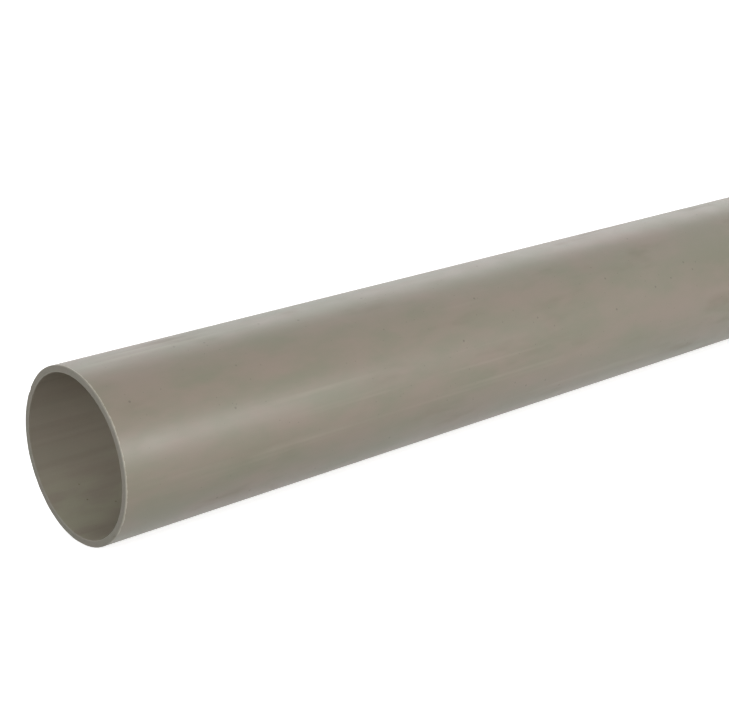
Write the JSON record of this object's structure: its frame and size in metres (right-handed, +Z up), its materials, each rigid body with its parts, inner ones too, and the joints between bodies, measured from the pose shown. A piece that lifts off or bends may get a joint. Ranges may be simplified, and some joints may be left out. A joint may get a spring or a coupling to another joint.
{
  "type": "pvc pipe",
  "caption": "Straight length of grey rigid PVC pressure pipe with plain, square-cut open ends, for carrying water or air.",
  "frame": {"origin": "under the middle of the pipe's length, on the line where it touches the ground", "axes": "+X along the pipe, from the end that the view shows to the far end; +Z up, away from the ground"},
  "size_m": [3.048, 0.114, 0.1143],
  "materials": {
    "grey_pvc": "satin"
  },
  "bodies": {
    "root": {"pipe": "grey_pvc"}
  },
  "joints": []
}
